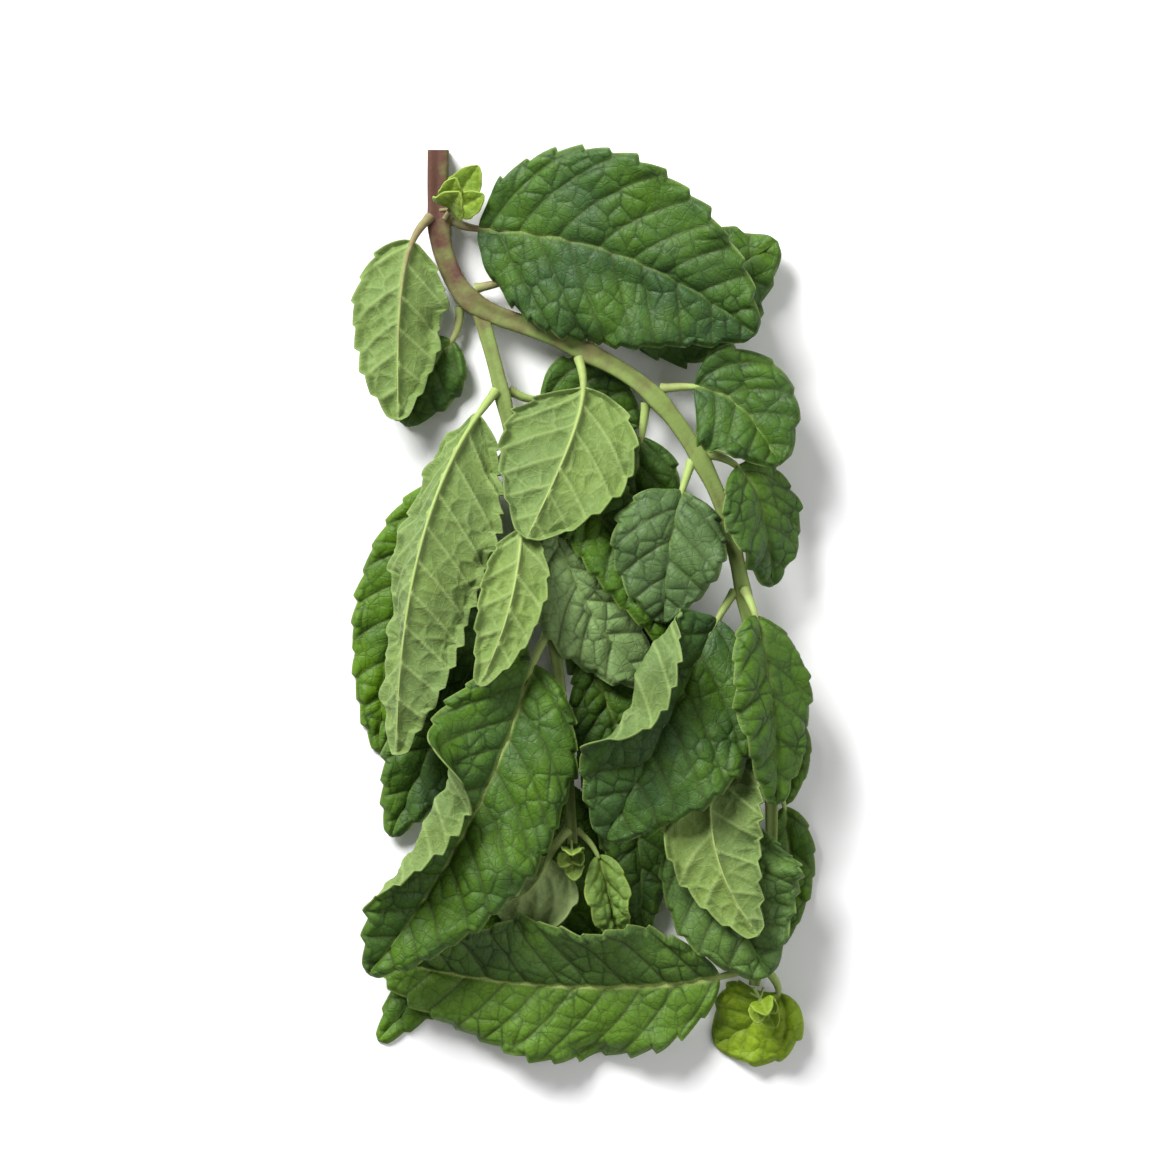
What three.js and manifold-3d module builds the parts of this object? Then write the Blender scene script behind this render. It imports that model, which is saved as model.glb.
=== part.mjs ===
// A spearmint sprig, cut and laid on a flat surface: a square main stem with one side shoot, opposite pairs
// of toothed leaves on short stalks, and small clusters of young leaves in an axil and at both tips.
// Millimetres, +Z up. The surface is z = 0, and the sprig's cut end points along +Y.
import * as THREE from 'three';
import { mergeVertices } from 'three/addons/utils/BufferGeometryUtils.js';
import Module from 'manifold-3d';

const wasm = await Module();
wasm.setup();

// Blade and stalk
const BLADE_THICKNESS = 0.7;
const MIDRIB_DEPTH = 1.2; // blade and the rib under it together
const STALK_HALF_WIDTH = 0.9;
const STALK_LENGTH = 5;
const STALK_LEAN = 0.8; // along the stem, for each 1 outward
const STALK_PULL = 1.4; // how long the midrib keeps the stalk's direction, in stalk lengths
const TIP_HALF_WIDTH = 0.4;
const OUTLINE_SKEW = 0.76; // under 1 puts the widest place nearer the stalk
const OUTLINE_FULLNESS = 0.72; // under 1 gives rounder ends
const CURL_GROWTH = 1.5; // how much of the curl is near the margin
const SECTION_STEPS = 24;
const ROLL_REACH = [0.4, 0.7]; // where a rolled margin turns over, as shares of the half width
const WAVE_SHARE = 0.07; // of the half width
const WAVES = 2.5;
const WAVE_STEP = 2.4; // radians from one leaf's wave to the next one's

// Teeth along the margin
const TOOTH_SPACING = 4.4;
const TOOTH_DEPTH = 1.1;
const TOOTH_SHARE = 0.1; // of the half width, on small leaves
const TOOTH_LEAN = 0.3; // towards the leaf's tip, as a share of the spacing

// Stems: a square with cut corners
const STEM_CORNER_SHARE = 0.6;
const STEM_REACH = Math.hypot(1, STEM_CORNER_SHARE); // to a corner, in half sides
const STEM_STEP = 4.5;
const NODE_SWELLING = 0.16;
const NODE_SPREAD = 3;
const JOINT_GAP = 0.95; // from a stem's corner to the middle of a leaning stalk's end

const DEGREE = Math.PI / 180;
const UP = new THREE.Vector3(0, 0, 1);

const GREENS = {
  leaf: 0x4f7434,
  underside: 0x86a05f,
  young: 0x8fa834,
  stem: 0x7d8a4e,
};

const finish = (colour) => new THREE.MeshStandardMaterial({ color: colour, roughness: 0.55, metalness: 0 });

// Stems. halfSide is [at the cut end or root, at the tip]. The nodes are shares of the length, with leaves.

const STEMS = {
  main: {
    route: [
      [-26, 85.5, 2.1], [-26, 75.5, 2.1], [-25, 66, 2.7], [-20, 57, 3.6], [-3, 49.5, 5.5], [14, 39.5, 8],
      [26.5, 21, 9.5], [32.5, -2, 10], [36.5, -26.5, 9.5], [37, -49, 8], [34, -73, 6],
    ],
    halfSide: [2.1, 1],
    nodes: [0.075, 0.163, 0.295, 0.38, 0.458, 0.6, 0.7, 0.8, 0.985],
  },
  side: {
    route: [
      [-17.1, 51.5, 4.4], [-14.8, 43, 5.6], [-10.5, 24.5, 8], [-5.5, 2, 10], [-2.5, -19, 10], [-1, -36, 9],
      [-0.5, -46, 8],
    ],
    halfSide: [1.5, 0.9],
    nodes: [0.136, 0.25, 0.365, 0.49, 0.61, 0.85, 0.985],
  },
};

for (const stem of Object.values(STEMS)) {
  const points = stem.route.map((p) => new THREE.Vector3(...p));
  stem.curve = new THREE.CatmullRomCurve3(points, false, 'centripetal');
  stem.length = stem.curve.getLength();
}

// Half the stem's width at a share of its length: an even taper with a swelling at each node
function stemHalfSide(stem, at) {
  const [root, tip] = stem.halfSide;
  const bump = (node) => Math.exp(-((((at - node) * stem.length) / NODE_SPREAD) ** 2));
  const swelling = stem.nodes.reduce((sum, node) => sum + bump(node), 0);
  return THREE.MathUtils.lerp(root, tip, at) * (1 + NODE_SWELLING * swelling);
}

// Directions along a curve: forward along it, aside to the right and over it, turned about it by an angle
function directionsAt(curve, at, turn = 0) {
  const forward = curve.getTangentAt(at);
  const aside = new THREE.Vector3().crossVectors(forward, UP).normalize();
  const over = new THREE.Vector3().crossVectors(aside, forward);
  aside.applyAxisAngle(forward, -turn * DEGREE);
  over.applyAxisAngle(forward, -turn * DEGREE);
  return { forward, aside, over };
}

function meshOf(vertices, triangles) {
  const geometry = new THREE.BufferGeometry();
  geometry.setAttribute('position', new THREE.Float32BufferAttribute(vertices, 3));
  geometry.setIndex(triangles);
  return geometry;
}

function stemGeometry(stem) {
  const c = STEM_CORNER_SHARE;
  const section = [[1, -c], [1, c], [c, 1], [-c, 1], [-1, c], [-1, -c], [-c, -1], [c, -1]];
  const sides = section.length;
  const steps = Math.round(stem.length / STEM_STEP);
  const vertices = [];
  const triangles = [];
  for (let i = 0; i <= steps; i++) {
    const at = i / steps;
    const centre = stem.curve.getPointAt(at);
    const { aside, over } = directionsAt(stem.curve, at);
    const half = stemHalfSide(stem, at);
    for (const [x, y] of section) {
      const corner = centre.clone().addScaledVector(aside, x * half).addScaledVector(over, y * half);
      vertices.push(corner.x, corner.y, Math.max(corner.z, 0));
    }
  }
  for (let i = 0; i < steps; i++) {
    for (let k = 0; k < sides; k++) {
      const a = i * sides + k;
      const b = i * sides + ((k + 1) % sides);
      triangles.push(a, b + sides, b, a, a + sides, b + sides);
    }
  }
  const last = steps * sides;
  for (let k = 1; k < sides - 1; k++) triangles.push(0, k, k + 1, last, last + k + 1, last + k);
  return meshOf(vertices, triangles);
}

// Leaves. A blade is a strip along its midrib. Each half folds up from the midrib (fold), turns further
// towards its margin (curl), and may roll over (roll: [turn, where along the blade, how far it spreads]).
// The blade is turned about its midrib (turn) and turns further on the way to its tip (twist). Its margins
// wave by a share of the half width (wave).

const LEVEL = { fold: 0, curl: -14 };
const FLAT = { fold: 10, curl: -14 };
const SPREAD = { fold: 6, curl: -22 };
const DROOPING = { fold: -12, curl: -12 };

const LEAVES = [
  // On the main stem, from the cut end to the tip
  {
    name: 'main_leaf_1_left', stem: 'main', at: 0.075, bend: [-34, 58, 11], tip: [-33.5, 34, 9],
    halfWidth: 8.5, turn: 180, twist: 12, right: { fold: 12, curl: 25 }, left: { fold: 12, curl: 25 },
  },
  {
    name: 'main_leaf_1_right', stem: 'main', at: 0.075, bend: [4, 74, 17], tip: [34, 50, 15],
    halfWidth: 18, twist: -10, right: SPREAD, left: FLAT,
  },
  {
    name: 'main_leaf_2_left', stem: 'main', at: 0.163, bend: [-28.5, 47, 3], tip: [-32, 33, 2],
    halfWidth: 7, right: FLAT, left: FLAT,
  },
  {
    name: 'main_leaf_2_right', stem: 'main', at: 0.163, bend: [-9, 63, 6], tip: [7, 58.5, 3.5],
    halfWidth: 7.4, right: FLAT, left: FLAT,
  },
  {
    name: 'main_leaf_3_left', stem: 'main', at: 0.295, bend: [21.5, 56.5, 9], tip: [38.5, 68, 6],
    halfWidth: 13, right: DROOPING, left: DROOPING,
  },
  {
    name: 'main_leaf_3_right', stem: 'main', at: 0.295, bend: [1, 32, 15], tip: [-9, 11.5, 18],
    halfWidth: 12.5, turn: 180, twist: -10, right: FLAT, left: FLAT,
  },
  {
    name: 'main_leaf_4_left', stem: 'main', at: 0.38, bend: [31, 41, 13], tip: [38.5, 25.5, 14],
    halfWidth: 10.5, twist: 15, right: FLAT, left: FLAT,
  },
  {
    name: 'main_leaf_4_right', stem: 'main', at: 0.38, bend: [12, 27, 7], tip: [10, 12, 6],
    halfWidth: 8, right: FLAT, left: FLAT,
  },
  {
    name: 'main_leaf_5_right', stem: 'main', at: 0.458, bend: [17, 11.7, 18.2], tip: [16.7, -4.5, 13.6],
    halfWidth: 10.5, right: FLAT, left: FLAT,
  },
  {
    name: 'main_leaf_5_left', stem: 'main', at: 0.458, bend: [36.5, 19, 13], tip: [37.5, 2.5, 10],
    halfWidth: 10, turn: 45, right: FLAT, left: FLAT,
  },
  {
    name: 'main_leaf_6_right', stem: 'main', at: 0.6, bend: [16.5, -26, 21.5], tip: [5.5, -45, 17],
    halfWidth: 17, right: { fold: 14, curl: 0, roll: [150, 0.25, 0.5] }, left: SPREAD,
  },
  {
    name: 'main_leaf_6_left', stem: 'main', at: 0.6, bend: [38.2, -18, 19], tip: [38, -38.5, 17.5],
    halfWidth: 9.2, turn: 42, right: FLAT, left: FLAT,
  },
  {
    name: 'main_leaf_7_right', stem: 'main', at: 0.7, bend: [18, -42, 15.5], tip: [34.5, -63, 16],
    halfWidth: 9.5, turn: 180, right: LEVEL, left: FLAT,
  },
  {
    name: 'main_leaf_7_left', stem: 'main', at: 0.7, bend: [41, -28, 3], tip: [40, -39, 2],
    halfWidth: 4.5, right: FLAT, left: FLAT,
  },
  {
    name: 'main_leaf_8_right', stem: 'main', at: 0.8, bend: [24, -50, 13], tip: [36.5, -71, 12],
    halfWidth: 13, right: { fold: 5, curl: -25 }, left: { fold: 8, curl: -14 },
  },
  {
    name: 'main_leaf_8_left', stem: 'main', at: 0.8, bend: [41, -52, 2], tip: [39, -66, 1.5],
    halfWidth: 5, right: FLAT, left: FLAT,
  },
  {
    name: 'main_leaf_9_right', stem: 'main', at: 0.985, bend: [-10.5, -76.5, 7], tip: [-39, -67, 6],
    halfWidth: 14, wave: 0.15, right: { fold: 32, curl: 10 }, left: SPREAD,
  },
  {
    name: 'main_leaf_9_left', stem: 'main', at: 0.985, bend: [37.8, -78.4, 4.6], tip: [26.5, -84.8, 1],
    halfWidth: 8.6, young: true, right: FLAT, left: FLAT,
  },
  // On the side shoot, from its root to its tip
  {
    name: 'side_leaf_1_right', stem: 'side', at: 0.136, bend: [-33, 17, 27], tip: [-33.5, -29, 17],
    halfWidth: 13, turn: 180, right: { fold: 8, curl: 20 }, left: { fold: 78, curl: -12 },
  },
  {
    name: 'side_leaf_1_left', stem: 'side', at: 0.136, bend: [-3, 43, 2], tip: [12, 33, 2.5],
    halfWidth: 8, right: FLAT, left: FLAT,
  },
  {
    name: 'side_leaf_2_right', stem: 'side', at: 0.25, bend: [-36.3, 16.5, 1.5], tip: [-37.3, -29, 1.5],
    halfWidth: 8.5, right: LEVEL, left: LEVEL,
  },
  {
    name: 'side_leaf_2_left', stem: 'side', at: 0.25, bend: [11.5, 10, 16], tip: [20.3, -11, 10.5],
    halfWidth: 7.5, right: { fold: 21, curl: -22 }, left: FLAT,
  },
  {
    name: 'side_leaf_3_right', stem: 'side', at: 0.365, bend: [-9.5, 0, 23], tip: [-18, -16, 21.5],
    halfWidth: 6, turn: 180, right: FLAT, left: FLAT,
  },
  {
    name: 'side_leaf_3_left', stem: 'side', at: 0.365, bend: [-2.5, -0.5, 12.6], tip: [14.5, -16, 9],
    halfWidth: 9.5, right: FLAT, left: { fold: -20, curl: -8 },
  },
  {
    name: 'side_leaf_4_right', stem: 'side', at: 0.49, bend: [-22, -14, 5], tip: [-35, -45, 3],
    halfWidth: 10, right: FLAT, left: FLAT,
  },
  {
    name: 'side_leaf_4_left', stem: 'side', at: 0.49, bend: [8, -12, 3], tip: [22, -32, 2.5],
    halfWidth: 9, right: FLAT, left: FLAT,
  },
  {
    name: 'side_leaf_5_right', stem: 'side', at: 0.61, bend: [-12, -38, 19.5], tip: [-39, -70.5, 13.5],
    halfWidth: 15.5, right: { fold: 20, curl: 0, roll: [150, 0.6, 0.26] }, left: { fold: 24, curl: -45 },
  },
  {
    name: 'side_leaf_5_left', stem: 'side', at: 0.61, bend: [14, -37, 5], tip: [12.5, -64, 4],
    lean: 0.5, halfWidth: 8.5, right: FLAT, left: FLAT,
  },
  {
    name: 'side_leaf_6_right', stem: 'side', at: 0.85, bend: [-16, -60, 1.5], tip: [-37.5, -84, 1],
    halfWidth: 9, right: LEVEL, left: LEVEL,
  },
  {
    name: 'side_leaf_6_left', stem: 'side', at: 0.85, bend: [0, -58, 1.5], tip: [-6, -86, 1],
    halfWidth: 8, right: LEVEL, left: LEVEL,
  },
  {
    name: 'side_leaf_7_right', stem: 'side', at: 0.985, bend: [-5, -56, 10], tip: [-15.5, -57.5, 8],
    halfWidth: 8.5, turn: 180, right: FLAT, left: FLAT,
  },
  {
    name: 'side_leaf_7_left', stem: 'side', at: 0.985, bend: [5.5, -57.5, 9], tip: [9, -65, 8], young: true,
    halfWidth: 5, right: { fold: 50, curl: 0 }, left: { fold: 50, curl: 0 },
  },
];

// The midrib leaves the stem's corner at a slant, passes near the bend and ends at the tip
function midribOf({ stem: stemName, at, bend, tip, lean = STALK_LEAN, stalk = STALK_LENGTH }) {
  const stem = STEMS[stemName];
  const centre = stem.curve.getPointAt(at);
  const forward = stem.curve.getTangentAt(at);
  const outward = new THREE.Vector3(...bend).sub(centre).projectOnPlane(forward).normalize();
  const root = centre.clone().addScaledVector(outward, stemHalfSide(stem, at) * STEM_REACH + JOINT_GAP);
  const way = outward.clone().addScaledVector(forward, lean).normalize();
  const stalkEnd = root.clone().addScaledVector(way, stalk * STALK_PULL);
  return new THREE.CubicBezierCurve3(root, stalkEnd, new THREE.Vector3(...bend), new THREE.Vector3(...tip));
}

// Half the blade's width at a share s of its length
const bladeHalfWidth = (s, widest) =>
  Math.max(
    s < 0.5 ? STALK_HALF_WIDTH : TIP_HALF_WIDTH,
    widest * Math.abs(Math.sin(Math.PI * s ** OUTLINE_SKEW)) ** OUTLINE_FULLNESS,
  );

// Where one half of the cross-section has got to at a distance from the midrib: out, up, and its slope there
function halfSection(half, s, distance, widest) {
  const [rollTurn, rollAt, rollSpread] = half.roll ?? [0, 0, 1];
  const roll = rollTurn * Math.exp(-(((s - rollAt) / rollSpread) ** 4));
  const rolled = (share) => roll * THREE.MathUtils.smoothstep(share, ...ROLL_REACH);
  const slopeAt = (d) => DEGREE * (half.fold + half.curl * (d / widest) ** CURL_GROWTH + rolled(d / widest));
  let out = 0;
  let rise = 0;
  for (let i = 0; i < SECTION_STEPS; i++) {
    const slope = slopeAt(((i + 0.5) / SECTION_STEPS) * distance);
    out += (Math.cos(slope) * distance) / SECTION_STEPS;
    rise += (Math.sin(slope) * distance) / SECTION_STEPS;
  }
  return { out, rise, slope: slopeAt(distance) };
}

// A point midway through the blade and the blade's normal there
function bladePoint(leaf, midrib, at, s, aside, distance, halfWidth) {
  const { turn = 0, twist = 0, phase = 0, wave: waveShare = WAVE_SHARE, halfWidth: widest } = leaf;
  const direction = directionsAt(midrib, at, turn + twist * at);
  const { out, rise, slope } = halfSection(aside > 0 ? leaf.right : leaf.left, s, distance, widest);
  const swing = Math.sin(2 * Math.PI * WAVES * s + aside + phase);
  const wave = waveShare * widest * (distance / halfWidth) ** 2 * swing;
  const normal = direction.over
    .clone()
    .multiplyScalar(Math.cos(slope))
    .addScaledVector(direction.aside, -aside * Math.sin(slope));
  const point = midrib
    .getPointAt(at)
    .addScaledVector(direction.aside, aside * out)
    .addScaledVector(direction.over, rise)
    .addScaledVector(normal, s > 0 ? wave * Math.sin(Math.PI * s) : 0);
  return { point, normal };
}

// Shares of the half width at which a blade has a column of points
const SMALL_LEAF = 10.5;
const COLUMNS = { small: [0.55, 1], plain: [0.4, 0.75, 1], rolled: [0.4, 0.5, 0.58, 0.7, 1] };

function leafGeometry(leaf, midrib) {
  const length = midrib.getLength();
  const stalkShare = (leaf.stalk ?? STALK_LENGTH) / length;
  const teeth = Math.max(2, Math.round((length * (1 - stalkShare)) / TOOTH_SPACING));
  const unrolled = leaf.halfWidth > SMALL_LEAF ? COLUMNS.plain : COLUMNS.small;
  const columnsOf = (half) => (half.roll ? COLUMNS.rolled : unrolled);
  const leftColumns = columnsOf(leaf.left).map((share) => -share);
  const columns = [...leftColumns.reverse(), 0, ...columnsOf(leaf.right)];
  const toothDepth = Math.min(TOOTH_DEPTH, leaf.halfWidth * TOOTH_SHARE);

  // The stalk has two rows of points, and the blade has one at each notch and one at each tooth's point
  const rows = [{ s: 0, at: 0 }, { s: 0, at: stalkShare * 0.6 }];
  for (let i = 0; i <= 2 * teeth; i++) {
    const s = i / (2 * teeth);
    rows.push({ s, at: stalkShare + (1 - stalkShare) * s, tooth: i % 2 === 1 });
  }

  const vertices = [];
  for (const row of rows) {
    for (const column of columns) {
      const leaning = row.tooth && Math.abs(column) === 1;
      const shift = leaning ? TOOTH_LEAN / teeth : 0;
      const s = Math.min(1, row.s + shift);
      const at = Math.min(1, row.at + shift * (1 - stalkShare));
      const halfWidth = bladeHalfWidth(s, leaf.halfWidth);
      const distance = Math.abs(column) * halfWidth + (leaning ? toothDepth : 0);
      const { point, normal } = bladePoint(leaf, midrib, at, s, Math.sign(column) || 1, distance, halfWidth);
      const below = column === 0 ? MIDRIB_DEPTH - BLADE_THICKNESS / 2 : BLADE_THICKNESS / 2;
      const faces = [
        point.clone().addScaledVector(normal, BLADE_THICKNESS / 2),
        point.clone().addScaledVector(normal, -below),
      ];
      // What would reach below the surface is pressed flat on it
      const [upper, lower] = normal.z >= 0 ? faces : [faces[1], faces[0]];
      lower.z = Math.max(lower.z, 0);
      upper.z = Math.max(upper.z, BLADE_THICKNESS);
      for (const face of faces) vertices.push(face.x, face.y, face.z);
    }
  }

  const wide = columns.length;
  const high = rows.length;
  const top = (i, j) => (i * wide + j) * 2;
  const under = (i, j) => top(i, j) + 1;
  const triangles = [];
  const quad = (a, b, c, d) => triangles.push(a, b, c, a, c, d);
  for (let i = 0; i < high - 1; i++) {
    for (let j = 0; j < wide - 1; j++) {
      quad(top(i, j), top(i, j + 1), top(i + 1, j + 1), top(i + 1, j));
      triangles.push(under(i, j), under(i + 1, j + 1), under(i, j + 1));
      triangles.push(under(i, j), under(i + 1, j), under(i + 1, j + 1));
    }
    quad(top(i, wide - 1), under(i, wide - 1), under(i + 1, wide - 1), top(i + 1, wide - 1));
    quad(under(i, 0), top(i, 0), top(i + 1, 0), under(i + 1, 0));
  }
  for (let j = 0; j < wide - 1; j++) {
    quad(top(0, j), under(0, j), under(0, j + 1), top(0, j + 1));
    quad(under(high - 1, j), top(high - 1, j), top(high - 1, j + 1), under(high - 1, j + 1));
  }
  return meshOf(vertices, triangles);
}

// Clusters of young leaves: pairs set crosswise round one direction, joined to a small round core

const CLUSTERS = [
  { name: 'axil_cluster', stem: 'main', at: 0.075, toward: [-19, 80, 12], size: 11 },
  { name: 'main_tip_cluster', stem: 'main', at: 1, toward: [37, -80, 11], size: 7 },
  { name: 'side_tip_cluster', stem: 'side', at: 1, toward: [-0.6, -50.5, 15], size: 6.5 },
];
const CLUSTER_LEAVES = [
  { round: 0, scale: 1 },
  { round: 190, scale: 0.9 },
  { round: 95, scale: 0.75 },
  { round: 270, scale: 0.65 },
];
const CLUSTER_CORE = 1;
const CLUSTER_GAP = 0.8; // from a stem's corner to the core
const CLUSTER_TOLERANCE = 0.02;
const CLUSTER_SPLAY = 32; // of the largest leaf's tip, in degrees
const CLUSTER_BULGE = 1.6; // of its middle, against its tip
const CLUSTER_HALF_WIDTH = 0.32; // of a leaf, as a share of its length
const CLUSTER_START = 0.4; // of a leaf, as a share of the core's radius
const CLUSTER_HALF = { fold: 20, curl: 0 };

function solidOf(geometry) {
  const bare = geometry.clone().deleteAttribute('normal').deleteAttribute('uv');
  const merged = mergeVertices(bare, 1e-3);
  const vertProperties = new Float32Array(merged.attributes.position.array);
  const triVerts = new Uint32Array(merged.index.array);
  return new wasm.Manifold(new wasm.Mesh({ numProp: 3, vertProperties, triVerts }));
}

function clusterGeometry({ stem: stemName, at, toward, size }) {
  const stem = STEMS[stemName];
  const centre = stem.curve.getPointAt(at);
  const way = new THREE.Vector3(...toward).sub(centre).normalize();
  const clear = stemHalfSide(stem, at) * STEM_REACH + CLUSTER_CORE + CLUSTER_GAP;
  const root = centre.clone().addScaledVector(way, clear);
  const across = new THREE.Vector3().crossVectors(way, UP).normalize();

  const core = new THREE.IcosahedronGeometry(CLUSTER_CORE).translate(root.x, root.y, root.z);
  let joined = solidOf(core);
  for (const { round, scale } of CLUSTER_LEAVES) {
    const splayAxis = across.clone().applyAxisAngle(way, round * DEGREE);
    const tipWay = way.clone().applyAxisAngle(splayAxis, CLUSTER_SPLAY * scale * DEGREE);
    const bendWay = way.clone().applyAxisAngle(splayAxis, CLUSTER_SPLAY * CLUSTER_BULGE * scale * DEGREE);
    const start = root.clone().addScaledVector(tipWay, CLUSTER_CORE * CLUSTER_START * scale);
    const middle = root.clone().addScaledVector(bendWay, size * scale * 0.5);
    const tip = root.clone().addScaledVector(tipWay, size * scale);
    const midrib = new THREE.QuadraticBezierCurve3(start, middle, tip);
    const halfWidth = size * scale * CLUSTER_HALF_WIDTH;
    const leaf = { halfWidth, stalk: 1, right: CLUSTER_HALF, left: CLUSTER_HALF };
    joined = joined.add(solidOf(leafGeometry(leaf, midrib)));
  }
  const { vertProperties, triVerts } = joined.asOriginal().simplify(CLUSTER_TOLERANCE).getMesh();
  return meshOf(Array.from(vertProperties), Array.from(triVerts));
}

// The sprig

const sprig = new THREE.Group();

function place(name, geometry, colour) {
  const mesh = new THREE.Mesh(geometry, finish(colour));
  mesh.name = name;
  sprig.add(mesh);
}

place('main_stem', stemGeometry(STEMS.main), GREENS.stem);
place('side_shoot', stemGeometry(STEMS.side), GREENS.stem);
for (const [order, leaf] of LEAVES.entries()) {
  leaf.phase = order * WAVE_STEP;
  const grown = leaf.turn === 180 ? GREENS.underside : GREENS.leaf;
  place(leaf.name, leafGeometry(leaf, midribOf(leaf)), leaf.young ? GREENS.young : grown);
}
for (const cluster of CLUSTERS) place(cluster.name, clusterGeometry(cluster), GREENS.young);

// The origin is under the middle of the sprig, on the surface
const box = new THREE.Box3().setFromObject(sprig);
const middle = box.getCenter(new THREE.Vector3());
sprig.position.set(-middle.x, -middle.y, -box.min.z);

export default sprig;
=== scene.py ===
# %% [markdown]
# A spearmint sprig lies on a pale table and is seen from straight above. The solids come first: they fix
# where every stem and leaf is. This lesson then replaces each of them with a finer piece in the same place:
# blades with veins, quilted cells and teeth, ribs and stalks, and square stems with swollen nodes.

import bpy
import numpy as np
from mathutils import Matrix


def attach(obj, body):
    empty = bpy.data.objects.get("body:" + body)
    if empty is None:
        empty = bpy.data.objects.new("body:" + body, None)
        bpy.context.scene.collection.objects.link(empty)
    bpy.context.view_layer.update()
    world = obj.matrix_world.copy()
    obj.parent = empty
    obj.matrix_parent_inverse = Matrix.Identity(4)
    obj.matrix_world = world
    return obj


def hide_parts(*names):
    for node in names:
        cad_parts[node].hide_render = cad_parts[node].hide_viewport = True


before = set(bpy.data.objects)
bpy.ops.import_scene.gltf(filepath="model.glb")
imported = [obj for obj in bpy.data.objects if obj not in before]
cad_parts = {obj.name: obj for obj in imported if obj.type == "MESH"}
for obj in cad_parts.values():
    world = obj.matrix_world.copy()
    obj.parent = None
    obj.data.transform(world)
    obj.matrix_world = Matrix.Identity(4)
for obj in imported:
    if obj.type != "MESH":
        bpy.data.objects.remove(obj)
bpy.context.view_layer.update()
print("solids loaded:", len(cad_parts))

# %% [markdown]
# Sizes in this lesson are in millimetres, as on a ruler, and become metres only when a mesh is filled in.
# The drawing was centred after its leaves were placed, so every point moves by the same small offset.

# %% Units and helpers
MM = 0.001
CENTRING = np.array([-1.36, 1.41, 0.0])
UP = np.array([0.0, 0.0, 1.0])


def unit(vectors):
    return vectors / np.linalg.norm(vectors, axis=-1, keepdims=True)


def smooth(low, high, values):
    share = np.clip((values - low) / (high - low), 0, 1)
    return share * share * (3 - 2 * share)


def deselect():
    if bpy.context.object and bpy.context.object.mode != "OBJECT":
        bpy.ops.object.mode_set(mode="OBJECT")
    bpy.ops.object.select_all(action="DESELECT")


def select_only(*objects):
    deselect()
    for item in objects:
        item.select_set(True)
    bpy.context.view_layer.objects.active = objects[0]


print("centring in mm:", CENTRING)

# %% [markdown]
# Stems and midribs are smooth lines. A line is kept as many close points, with the distance run so far,
# so that any share of its length can be looked up. Stems pass through their points, and a midrib is a
# Bezier curve that leaves the stalk, leans towards a bend and ends at the leaf's tip.

# %% Lines
PIECE_STEPS = 60
CURVE_STEPS = 300


class Line:
    def __init__(self, points):
        self.points = points
        steps = np.linalg.norm(np.diff(points, axis=0), axis=1)
        self.run = np.concatenate([[0], np.cumsum(steps)])
        self.length = self.run[-1]
        self.ways = unit(np.gradient(points, self.run, axis=0))

    def look_up(self, table, share):
        at = np.clip(share, 0, 1) * self.length
        return np.stack([np.interp(at, self.run, table[:, k]) for k in range(3)], axis=-1)

    def at(self, share):
        return self.look_up(self.points, share)

    def way(self, share):
        return unit(self.look_up(self.ways, share))


def line_through(route):
    points = np.array(route, float)
    points = np.vstack([2 * points[0] - points[1], points, 2 * points[-1] - points[-2]])
    t = np.linspace(0, 1, PIECE_STEPS)[:, None]
    parts = []
    for p0, p1, p2, p3 in zip(points, points[1:], points[2:], points[3:]):
        g0, g1, g2 = [np.linalg.norm(b - a) ** 0.5 for a, b in ((p0, p1), (p1, p2), (p2, p3))]
        start = ((p1 - p0) / g0 - (p2 - p0) / (g0 + g1) + (p2 - p1) / g1) * g1
        end = ((p2 - p1) / g1 - (p3 - p1) / (g1 + g2) + (p3 - p2) / g2) * g1
        cubic = 2 * p1 - 2 * p2 + start + end
        square = -3 * p1 + 3 * p2 - 2 * start - end
        parts.append((cubic * t**3 + square * t**2 + start * t + p1)[:-1])
    parts.append(points[-2][None])
    return Line(np.vstack(parts))


def bezier(*handles):
    t = np.linspace(0, 1, CURVE_STEPS)[:, None]
    levels = [np.array(h, float) for h in handles]
    while len(levels) > 1:
        levels = [a * (1 - t) + b * t for a, b in zip(levels, levels[1:])]
    return Line(levels[0])


def directions(line, share, turn):
    forward = line.way(share)
    aside = unit(np.cross(forward, UP))
    over = np.cross(aside, forward)
    angle = np.radians(np.broadcast_to(turn, np.shape(share)))[..., None]
    return (
        aside * np.cos(angle) + over * np.sin(angle),
        over * np.cos(angle) - aside * np.sin(angle),
    )


corner = bezier((0, 0, 0), (10, 0, 0), (10, 10, 0))
print("a corner with 10 mm legs, rounded, in mm:", round(corner.length, 1))

# %% [markdown]
# The sprig has a main stem and a side shoot. Both are nearly square, as all mints are, taper towards the
# tip, and swell a little at each node, where a pair of leaves grows.

# %% Stem routes
STEMS = {
    "main": {
        "line": line_through(
            [
                (-26, 85.5, 2.1), (-26, 75.5, 2.1), (-25, 66, 2.7), (-20, 57, 3.6), (-3, 49.5, 5.5),
                (14, 39.5, 8), (26.5, 21, 9.5), (32.5, -2, 10), (36.5, -26.5, 9.5), (37, -49, 8),
                (34, -73, 6),
            ]
        ),
        "half_side": (2.1, 1.0),
        "nodes": (0.075, 0.163, 0.295, 0.38, 0.458, 0.6, 0.7, 0.8, 0.985),
    },
    "side": {
        "line": line_through(
            [
                (-17.1, 51.5, 4.4), (-14.8, 43, 5.6), (-10.5, 24.5, 8), (-5.5, 2, 10), (-2.5, -19, 10),
                (-1, -36, 9), (-0.5, -46, 8),
            ]
        ),
        "half_side": (1.5, 0.9),
        "nodes": (0.136, 0.25, 0.365, 0.49, 0.61, 0.85, 0.985),
    },
}
NODE_SWELLING = 0.16
NODE_SPREAD = 3.0
CORNER_SHARE = 0.6
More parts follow.
